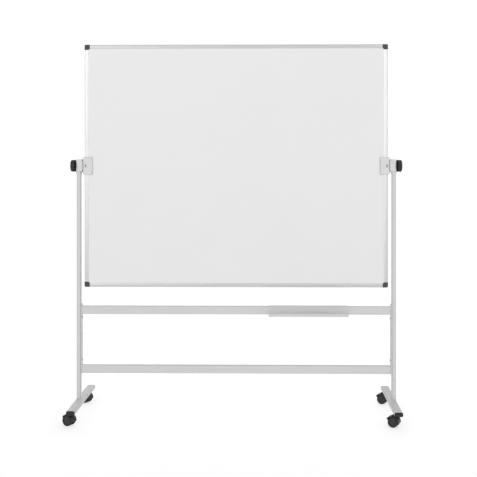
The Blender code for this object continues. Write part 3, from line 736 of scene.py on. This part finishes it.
def foot_plug_mesh():
    """A push-in end plug: a pillowed flange that faces -Y, and a ribbed plug behind it."""
    size = extent("foot_cap_front_right")
    foot = extent("foot_right")
    flange, radius, ease, steps = 4 * MM, 7.5 * MM, 2.2 * MM, 6
    rings = [at_height(rounded_rectangle(size.x, size.z, radius, 8), 0)]
    for step in range(steps, -1, -1):
        angle = math.radians(90 * step / steps)
        inset = ease * (1 - math.sin(angle))
        outline = rounded_rectangle(size.x - 2 * inset, size.z - 2 * inset, radius - inset, 8)
        rings.append(at_height(outline, flange - ease * (1 - math.cos(angle))))
    head = loft(rings)
    play = 2 * (TUBE_WALL + GAP)
    width, height = foot.x - play, foot.z - play
    ribs, pitch, groove, top = 5, 2.75 * MM, 0.6 * MM, 1 * MM
    rib = ((0.2 * MM, 0), (1.4 * MM, 0), (1.8 * MM, groove), (2.6 * MM, groove))
    rings = []
    for step in range(ribs):
        for depth, inset in rib:
            outline = rounded_rectangle(width - 2 * inset, height - 2 * inset, 3 * MM, 8)
            rings.append(at_height(outline, top - depth - pitch * step))
    plug = loft(rings[::-1])
    return join(head, plug)


def add_foot_plugs():
    mesh = foot_plug_mesh()
    mesh.transform(ALONG_Y)
    for row, half_turn in (("front", Matrix.Identity(4)), ("rear", turn(180, "Z"))):
        for side in SIDES:
            lowest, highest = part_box(f"foot_{side}")
            spot = (lowest + highest) / 2
            spot.y = lowest.y - GAP if row == "front" else highest.y + GAP
            place = Matrix.Translation(spot) @ half_turn
            cap = f"foot_cap_{row}_{side}"
            add(f"foot_plug_{row}_{side}", mesh, "plug", "stand", cap, place)


def add_side_plates():
    lowest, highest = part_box("end_plate_right")
    size, centre = highest - lowest, (lowest + highest) / 2
    corner, ease = 2.5 * MM, 0.7 * MM
    outline = rounded_rectangle(size.y, size.z, corner, 5)
    plate = prism(outline, -size.x / 2, size.x / 2, Matrix.Translation(centre) @ ALONG_X)
    plate = softened(plate, ease)
    plate = cut(plate, *bolt_holes(lowest.x - PAST, highest.x + PAST))
    add_pair("side_plate", plate, "coat", "stand", "end_plate_{}")


def add_cross_tubes():
    for level in ("upper", "lower"):
        name = f"crossbar_{level}"
        size = extent(name)
        place = Matrix.Translation(middle(name)) @ ALONG_X
        bar = tube(size.y, size.z, BAR_RADIUS, -size.x / 2, size.x / 2, place)
        add(f"cross_tube_{level}", bar, "coat", "stand", name)


def weld_bead(outline, radius, place):
    """A rippled bead that follows a closed outline in its own plane."""
    count, sides = len(outline), 8
    ripple, ripple_length = 0.10, 0.45 * MM
    rings = []
    run = 0.0
    for index, (x, y) in enumerate(outline):
        before, after = outline[index - 1], outline[(index + 1) % count]
        along = Vector((after[0] - before[0], after[1] - before[1]))
        out = Vector((along.y, -along.x)).normalized()
        run += along.length / 2
        thick = radius * (1 + ripple * math.sin(run / ripple_length))
        ring = []
        for side in range(sides):
            angle = math.radians(360 / sides * side)
            reach, level = thick * math.cos(angle), thick * math.sin(angle)
            ring.append((x + out.x * reach, y + out.y * reach, level))
        rings.append(ring)
    mesh = loft(rings, closed=True)
    mesh.transform(place)
    return mesh


def evenly(outline, spacing):
    """The closed outline with its straight runs divided."""
    points = []
    for start, end in zip(outline, outline[1:] + outline[:1]):
        start, end = Vector(start), Vector(end)
        pieces = max(1, round((end - start).length / spacing))
        points += [tuple(start.lerp(end, piece / pieces)) for piece in range(pieces)]
    return points


def add_welds():
    """Beads round both ends of each cross tube, and round the foot of each post."""
    beads = []
    bar_bead, post_bead, spacing = 1.1 * MM, 1.0 * MM, 1 * MM
    bar = extent("crossbar_upper")
    outline = evenly(rounded_rectangle(bar.y, bar.z, BAR_RADIUS, 5), spacing)
    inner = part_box("end_plate_right")[0].x
    for level in ("upper", "lower"):
        height = middle(f"crossbar_{level}").z
        for sign in (-1, 1):
            place = move(sign * inner, 0, height) @ ALONG_X
            beads.append(weld_bead(outline, bar_bead, place))
    post = extent("post_right")
    outline = evenly(rounded_rectangle(post.x, post.y, TUBE_RADIUS, 5), spacing)
    foot_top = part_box("foot_right")[1].z
    for side in SIDES:
        place = move(middle(f"post_{side}").x, 0, foot_top)
        beads.append(weld_bead(outline, post_bead, place))
    build = bmesh.new()
    for bead in beads:
        build.from_mesh(bead)
    add("weld_beads", finished(build), "coat", "stand", None)


def bolt_mesh():
    """A flanged button-head bolt along X, with a hexagon socket."""
    lowest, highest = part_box("plate_bolt_upper_right")
    under_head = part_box("end_plate_right")[0].x - GAP
    head, end = lowest.x, highest.x
    rim, shank, chamfer = (highest.z - lowest.z) / 2, 3 * MM, 0.5 * MM
    flange, button, middle_flat = 0.9 * MM, 2.4 * MM, rim - 3.8 * MM
    socket_radius, socket_depth = 2.2 * MM, 2 * MM
    axis = 0.01 * MM
    profile = [(axis, end), (shank - chamfer, end), (shank, end - chamfer)]
    profile += [(shank, under_head), (rim, under_head), (rim, under_head - flange)]
    profile += arc((middle_flat, head + button), button, 0, -90, 6)
    profile += [(axis, head)]
    bolt = turned(profile)
    socket = rod(socket_radius, head - socket_depth, head + socket_depth, 6)
    bolt = cut(bolt, socket)
    bolt.transform(turn(90, "Y"))
    return bolt


def add_bolts():
    mesh = bolt_mesh()
    for level in ("upper", "lower"):
        height = middle(f"plate_bolt_{level}_right").z
        name = f"button_bolt_{level}"
        add_pair(name, mesh, "steel", "stand", f"plate_bolt_{level}_{{}}", height)


def add_pen_tray():
    """A bent sheet that hooks over the upper bar, with a hemmed front lip."""
    lowest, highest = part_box("pen_tray")
    bar_low, bar_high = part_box("crossbar_upper")
    sheet, bend, ease = 1.5 * MM, 0.95 * MM, 0.35 * MM
    off = GAP + sheet / 2
    back, front = bar_high.y + off, bar_low.y - off
    top, floor = bar_high.z + off, bar_low.z
    hook, hem, hem_drop, lean = 13 * MM, 2 * MM, 4 * MM, 2 * MM
    lip = lowest.y + sheet / 2
    lip_top = floor + 14 * MM
    path = [(back, top - hook), (back, top), (front, top), (front, floor)]
    path += [(lip + lean, floor), (lip, lip_top), (lip + hem, lip_top)]
    path += [(lip + hem, lip_top - hem_drop)]
    outline = ribbon(filleted(path, bend, 5), sheet)
    half = (highest.x - lowest.x) / 2
    tray = prism(outline, -half, half, move((lowest.x + highest.x) / 2) @ ALONG_X)
    tray = softened(tray, ease, 2, 60)
    add("pen_tray_sheet", tray, "coat", "pen_tray", "pen_tray")


def knob_mesh():
    """A clamp knob with eight rounded flutes, a domed end and a sunk end disc."""
    lowest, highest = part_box("clamp_knob_right")
    start, end = lowest.x, highest.x
    radius = (highest.z - lowest.z) / 2
    flutes, depth, share = 8, 2.6 * MM, 0.5
    flute_start, flute_rise = 0.66 * radius, 0.30 * radius
    bore, bore_end, chamfer = STUD_BORE, start + 22 * MM, 0.5 * MM
    groove, sunk, edge = 1 * MM, 1 * MM, 1.5 * MM
    dome, crown = 6 * MM, 1.6 * MM

    def fluted(reach, height, angle):
        place = (angle * flutes / (2 * math.pi)) % 1.0 - 0.5
        hollow = 0.5 + 0.5 * math.cos(min(1.0, abs(place) / (share / 2)) * math.pi)
        weight = max(0.0, min(1.0, (reach - flute_start) / flute_rise))
        return reach - depth * hollow * weight, height

    profile = [(bore, bore_end), (bore, start + chamfer), (bore + chamfer, start)]
    profile += [(17 * MM, start), (18 * MM, start + groove), (22 * MM, start + groove)]
    profile += [(23 * MM, start), (radius - edge, start)]
    profile += arc((radius - edge, start + edge), edge, -60, 0, 3)
    profile += arc((radius - dome, end - crown - dome), dome, 0, 84, 10)
    profile += [(18 * MM, end - 0.45 * MM), (14 * MM, end), (11.6 * MM, end - 0.2 * MM)]
    profile += [(11.4 * MM, end - 0.8 * MM), (11 * MM, end - sunk), (NEAR_AXIS, end - sunk)]
    knob = turned(profile, 16 * flutes, wave=fluted)
    knob.transform(turn(90, "Y"))
    return knob


def add_knobs():
    add_pair("fluted_knob", knob_mesh(), "knob", "clamp_knob_{}", "clamp_knob_{}", PIVOT_HEIGHT)


# --- castors ---------------------------------------------------------------------------

TRAIL = 18 * MM
AXLE_HEIGHT = 25 * MM  # and the wheels' radius
AXLE_BORE = 3.3 * MM
WHEEL_INNER = 7.5 * MM
PEDAL_PIVOT = Vector((-5 * MM, 29.6 * MM))  # from the axle, along X and up
PEDAL_TIP = Vector((-35 * MM, 12 * MM))
PEDAL_RUN = PEDAL_TIP - PEDAL_PIVOT
PEDAL_NEAREST = -PEDAL_PIVOT.dot(PEDAL_RUN.normalized())  # from the pivot, along the run
PEDAL_LINE = (PEDAL_PIVOT + PEDAL_RUN.normalized() * PEDAL_NEAREST).length  # over the axle
PEDAL_TRAVEL = math.radians(7)
PEDAL_HALF = 17 * MM
PEDAL_TIP_HALF = 7 * MM


def hood_mesh():
    """The swivelling hood: a web between the wheels, a mudguard over them and a boss."""
    radius, well, half_width, half_web = 28.2 * MM, 26.2 * MM, 21.3 * MM, 6.5 * MM
    web_radius, ease = 7 * MM, 1.4 * MM
    axle = (-TRAIL, AXLE_HEIGHT)
    outline = arc(axle, radius, -12, 90, 32) + arc(axle, web_radius, 180, 258, 8)
    body = softened(prism(outline, -half_width, half_width, ALONG_Y), ease, 4, 40)
    shoe_outer, shoe_inner = 20.2 * MM, 12 * MM
    shoe = arc(axle, shoe_outer, 80, 152, 20) + arc(axle, shoe_inner, 152, 80, 8)
    shoe = prism(shoe, -half_web, half_web, ALONG_Y)
    top, bottom, collar, chamfer = 57 * MM, 34 * MM, 9.5 * MM, 0.8 * MM
    profile = [(NEAR_AXIS, bottom), (collar, bottom), (12.5 * MM, 44.5 * MM)]
    profile += [(11.3 * MM, 47 * MM), (10 * MM, 50 * MM), (collar, 53 * MM)]
    profile += [(collar, top - chamfer), (collar - chamfer, top), (NEAR_AXIS, top)]
    boss = turned(profile)
    to_y = Matrix.Translation((axle[0], 0, axle[1])) @ turn(90, "X")
    wide = 40 * MM
    wells = [rod(well, half_web, wide, 96, to_y), rod(well, -wide, -half_web, 96, to_y)]
    pivot_x, pivot_z = axle[0] + PEDAL_PIVOT.x, axle[1] + PEDAL_PIVOT.y
    post_low, post_high = axle[1] + 15 * MM, pivot_z - 2 * MM
    post_back, post_front = pivot_x - 2.5 * MM, axle[0] + 1 * MM
    post = block((post_back, -half_web, post_low), (post_front, half_web, post_high))
    to_pivot = Matrix.Translation((pivot_x, 0, pivot_z)) @ turn(90, "X")
    lug_radius = 2.8 * MM
    lug = rod(lug_radius, -half_web, half_web, 32, to_pivot)
    pin_hole, stem_hole, bore_half = 1.9 * MM, 4.3 * MM, 30 * MM
    hole = rod(pin_hole, -PAST, PAST, 24, to_pivot)
    stem_bore = rod(stem_hole, 36 * MM, 70 * MM, 32)
    axle_bore = rod(AXLE_BORE, -bore_half, bore_half, 32, to_y)
    solid = cut(join(body, boss), *wells)
    return cut(join(solid, shoe, post, lug), hole, stem_bore, axle_bore)


def wheel_mesh():
    """One twin wheel about Z: inner face at height 0, a ribbed dish in the outer face."""
    radius, width, bore, chamfer, ease = AXLE_HEIGHT, 13 * MM, AXLE_BORE, 0.4 * MM, 2 * MM
    spokes, rise, spoke_width, spoke_slope = 8, 1.5 * MM, 0.12, 0.05
    floor, rim, hub = width - 2.4 * MM, 20.5 * MM, 8 * MM
    grooves, groove_depth = (4.5 * MM, 8.5 * MM), 0.6 * MM
    groove_top, groove_floor = 0.5 * MM, 0.25 * MM  # half widths

    def ribbed(reach, height, angle):
        if abs(height - floor) > 0.01 * MM:
            return reach, height
        place = abs((angle * spokes / (2 * math.pi)) % 1.0 - 0.5)
        return reach, height + rise * max(0.0, min(1.0, (spoke_width - place) / spoke_slope))

    profile = [(bore, width - 0.7 * MM), (bore, chamfer), (bore + chamfer, 0)]
    profile += [(radius - ease, 0)]
    profile += arc((radius - ease, ease), ease, -90, 0, 5)
    for line in grooves:
        profile += [(radius, line - groove_top), (radius - groove_depth, line - groove_floor)]
        profile += [(radius - groove_depth, line + groove_floor), (radius, line + groove_top)]
    profile += arc((radius - ease, width - ease), ease, 0, 90, 5)
    profile += [(rim + 0.6 * MM, width), (rim, width - 0.5 * MM)]
    profile += [(rim - 0.6 * MM, floor + 0.3 * MM), (rim - 1.2 * MM, floor)]
    profile += [(hub + 3 * MM, floor), (hub + 1.2 * MM, floor), (hub + 0.5 * MM, floor + 0.5 * MM)]
    profile += [(hub, width - 0.6 * MM), (hub - 0.6 * MM, width - 0.1 * MM)]
    profile += [(hub - 1.5 * MM, width), (3 * MM, width), (0.4 * MM, width)]
    return turned(profile, 12 * spokes, wave=ribbed)


def drop_to_circle(radius, past):
    """From the pedal's line down to a circle about the axle, so far past its top."""
    return PEDAL_LINE - math.sqrt(radius**2 - past**2)


def pedal_ring(share, length, pinch):
    """A section of the tread across its line, at a share of the way to its tip."""
    reach = length * share
    taper = max(0.0, (share - 0.48) / 0.52)
    half = PEDAL_HALF - (PEDAL_HALF - PEDAL_TIP_HALF) * taper**1.6
    thin, crown, deepest = 1.1 * MM, 2.4 * MM, 8 * MM
    over = thin + crown * math.sin(math.pi * min(1.0, share / 0.95)) ** 0.8 * (1 - 0.35 * share)
    clear = AXLE_HEIGHT + 1 * MM + PEDAL_TRAVEL * reach
    past = reach - PEDAL_NEAREST
    under = min(deepest, drop_to_circle(clear, past) if past > 0 else 0.0)
    under *= math.sqrt(1 - max(0.0, (share - 0.88) / 0.125) ** 2)
    under = max(thin, under)
    groove, ribs = 0.55 * MM, 9.5
    if 0.3 < share < 0.78 and math.sin(2 * math.pi * share * ribs) > 0.25:
        over -= groove
    ease = min(0.45 * (over + under), 1.6 * MM)
    outline = rounded_rectangle(2 * (half - pinch), over + under - pinch, ease, 4)
    lift = (over - under) / 2
    return [(-reach, y, z + lift) for y, z in outline]


def pedal_mesh():
    """The brake pedal about its pivot: a duck-billed tread with a keel, on a split barrel."""
    length, steps = PEDAL_RUN.length, 42
    ends = (0.9 * MM, 0.35 * MM)  # how much the first and last sections are drawn in
    keel_half, keel_start, keel_end, keel_gap = 5.6 * MM, 0.36, 0.93, 0.2 * MM
    rings, keel = [], []
    for step in range(steps + 1):
        share = step / steps
        end = min(step, steps - step)
        rings.append(pedal_ring(share, length, ends[end] if end < len(ends) else 0.0))
        if keel_start < share < keel_end:
            reach = length * share
            drop = drop_to_circle(AXLE_HEIGHT + keel_gap, reach - PEDAL_NEAREST)
            keel.append((-reach, -max(drop, 1 * MM)))
    keel += [(keel[-1][0], 0.5 * MM), (keel[0][0], 0.5 * MM)]
    plate = join(loft(rings), prism(keel, -keel_half, keel_half, ALONG_Y))
    to_y = turn(90, "X")
    barrel = rod(2.5 * MM, -PEDAL_HALF, PEDAL_HALF, 32, to_y)
    half_notch, deep, pin_half = 7 * MM, 8 * MM, 8 * MM
    notch = block((-5.8 * MM, -half_notch, -deep), (deep, half_notch, deep))
    pin = rod(1.5 * MM, -pin_half, pin_half, 24, to_y)
    pedal = join(cut(join(plate, barrel), notch), pin)
    slope = math.atan2(-PEDAL_RUN.y, -PEDAL_RUN.x)
    pedal.transform(Matrix.Rotation(-slope, 4, "Y"))
    return pedal


def castor_place(name):
    """From the castor's own axes, with the stem on Z and the wheels trailing to -X."""
    stem = middle(f"{name}_stem")
    axis = next(j["axis"] for j in frame["joints"] if j["name"] == f"{name}_brake_press")
    return move(stem.x, stem.y) @ Matrix.Rotation(math.atan2(axis[0], -axis[1]), 4, "Z")


def add_castors():
    hood, wheel, pedal = hood_mesh(), wheel_mesh(), pedal_mesh()
    for row in ROWS:
        for side in SIDES:
            name = f"castor_{row}_{side}"
            place = castor_place(name)
            axle = place @ move(-TRAIL, 0, AXLE_HEIGHT)
            add(f"{name}_mudguard", hood, "castor", name, f"{name}_hood", place)
            for end, sign in (("front", -1), ("rear", 1)):
                wheel_place = axle @ move(y=sign * WHEEL_INNER) @ turn(-90 * sign, "X")
                body = f"{name}_wheel_{end}"
                add(f"{body}_tyre", wheel, "tread", body, body, wheel_place)
            pivot = axle @ move(PEDAL_PIVOT.x, 0, PEDAL_PIVOT.y)
            add(f"{name}_pedal", pedal, "castor", f"{name}_brake", f"{name}_brake", pivot)
            repaint(f"{name}_stem", "steel")
            repaint(f"{name}_axle", "steel")


# --- stage, light and camera -----------------------------------------------------------


def add_floor():
    """A pale floor that turns to pure white away from the object."""
    radius, pale_to, white_from = 9.0, 0.9, 2.6
    build = bmesh.new()
    bmesh.ops.create_circle(build, cap_ends=True, segments=96, radius=radius)
    mesh = bpy.data.meshes.new("floor")
    build.to_mesh(mesh)
    build.free()
    material, tree, shader = new_material("pale_floor")
    place = {0: own_place(tree)}
    distance = node(tree, "VectorMath", place, operation="LENGTH").outputs["Value"]
    near = spread(tree, grain(tree, 30.0, 3.0), 0.60, 0.63)
    wire(tree, shader, Base_Color=near, Roughness=0.8)
    eye = node(tree, "LightPath").outputs["Is Camera Ray"]
    lift = node(tree, "Emission", {"Strength": spread(tree, eye, 0.25, 0.58)})
    pale = node(tree, "AddShader", {0: shader.outputs[0], 1: lift.outputs[0]})
    glow = node(tree, "Emission", {"Strength": spread(tree, eye, 0.60, 1.02)})
    fade = spread(tree, distance, 0.0, 1.0, pale_to, white_from)
    mixed = node(tree, "MixShader", {0: fade, 1: pale.outputs[0], 2: glow.outputs[0]})
    tree.links.new(mixed.outputs[0], tree.nodes["Material Output"].inputs["Surface"])
    mesh.materials.append(material)
    floor = bpy.data.objects.new("floor", mesh)
    bpy.context.scene.collection.objects.link(floor)


def soft_box(tree, across, sides, up, ends):
    """A soft-edged panel: 1 within the inner two of each four limits, 0 past the outer."""
    shares = []
    for place, (start, full, fading, end) in ((across, sides), (up, ends)):
        shares.append(spread(tree, place, 0.0, 1.0, start, full))
        shares.append(spread(tree, place, 1.0, 0.0, fading, end))
    level = shares[0]
    for share in shares[1:]:
        level = maths(tree, "MULTIPLY", level, share)
    return level


def add_world():
    """White to the eye. As light, it is strongest from the front and back.

    In reflections it is soft boxes beside the camera, and behind the object, on a grey.
    """
    world = bpy.data.worlds.new("studio")
    world.use_nodes = True
    tree = world.node_tree
    direction = node(tree, "TexCoord").outputs["Generated"]
    split = node(tree, "SeparateXYZ", {"Vector": direction})
    across, up = split.outputs["X"], split.outputs["Z"]
    along = maths(tree, "ABSOLUTE", split.outputs["Y"])
    facing = spread(tree, along, 0.30, 1.58, 0.1, 1.0)
    height = spread(tree, up, 0.72, 1.0, -0.15, 0.15)
    overhead = spread(tree, up, 1.0, 0.35, 0.30, 1.0)
    level = maths(tree, "MULTIPLY", maths(tree, "MULTIPLY", facing, height), overhead)
    aside = maths(tree, "DIVIDE", across, along)
    left = soft_box(tree, aside, (-1.5, -0.9, -0.20, -0.05), up, (-0.12, 0.03, 0.30, 0.55))
    right = soft_box(tree, aside, (0.06, 0.24, 0.9, 1.5), up, (-0.05, 0.05, 0.30, 0.55))
    surround = spread(tree, up, 0.74, 0.60, -0.30, 0.30)
    mirrored = maths(tree, "MULTIPLY_ADD", left, 1.10, surround)
    mirrored = maths(tree, "MULTIPLY_ADD", right, 0.90, mirrored)
    path = node(tree, "LightPath").outputs
    diffuse, glossy, seen = (
        node(tree, "Background", {"Color": grey(1.0), "Strength": strength}).outputs[0]
        for strength in (level, mirrored, 1.02)
    )
    lit = {0: path["Is Glossy Ray"], 1: diffuse, 2: glossy}
    lit = node(tree, "MixShader", lit).outputs[0]
    mixed = node(tree, "MixShader", {0: path["Is Camera Ray"], 1: lit, 2: seen}).outputs[0]
    tree.links.new(mixed, tree.nodes["World Output"].inputs["Surface"])
    bpy.context.scene.world = world


def add_light(name, spot, aim, size, power):
    data = bpy.data.lights.new(name, "AREA")
    data.shape = "DISK"
    data.size = size
    data.energy = power
    light = bpy.data.objects.new(name, data)
    light.location = spot
    light.rotation_euler = (Vector(aim) - Vector(spot)).to_track_quat("-Z", "Y").to_euler()
    light.visible_camera = False
    light.visible_glossy = False
    bpy.context.scene.collection.objects.link(light)


LIGHTS = {  # place, width in metres, power in watts
    "key": ((-2.0, -5.5, 3.0), 4.0, 38),
    "fill": ((3.0, -4.5, 0.9), 3.0, 20),
    "back": ((1.0, 4.5, 3.0), 4.0, 42),
}


def add_lights():
    board_middle = (0, 0, 1.0)
    for name, (spot, size, power) in LIGHTS.items():
        add_light(name, spot, board_middle, size, power)


VIEWPOINT = (0.156, -4.800, 1.248)
HEADING = math.radians(1.0)
LENS = 73.2
SHIFT_X, SHIFT_Y = -0.0252, -0.160


def add_camera():
    """The main viewpoint. The lens shift holds only there, not for other views."""
    data = bpy.data.cameras.new("camera")
    data.lens = LENS
    camera = bpy.data.objects.new("camera", data)
    camera.location = VIEWPOINT
    camera.rotation_euler = (math.radians(90), 0, HEADING)
    bpy.context.scene.collection.objects.link(camera)
    bpy.context.scene.camera = camera
    for path, shift in (("shift_x", SHIFT_X), ("shift_y", SHIFT_Y)):
        setattr(data, path, shift)
        driver = data.driver_add(path).driver
        place = driver.variables.new()
        place.name = "place"
        place.targets[0].id = camera
        place.targets[0].data_path = "location[1]"
        driver.expression = f"{shift} if abs(place - {VIEWPOINT[1]}) < 0.001 else 0.0"


FINISHES = make_finishes()
add_board()
add_posts()
add_feet()
add_foot_plugs()
add_side_plates()
add_cross_tubes()
add_welds()
add_bolts()
add_pen_tray()
add_knobs()
add_castors()
add_floor()
add_world()
add_lights()
add_camera()
bpy.context.scene.view_settings.view_transform = "Standard"

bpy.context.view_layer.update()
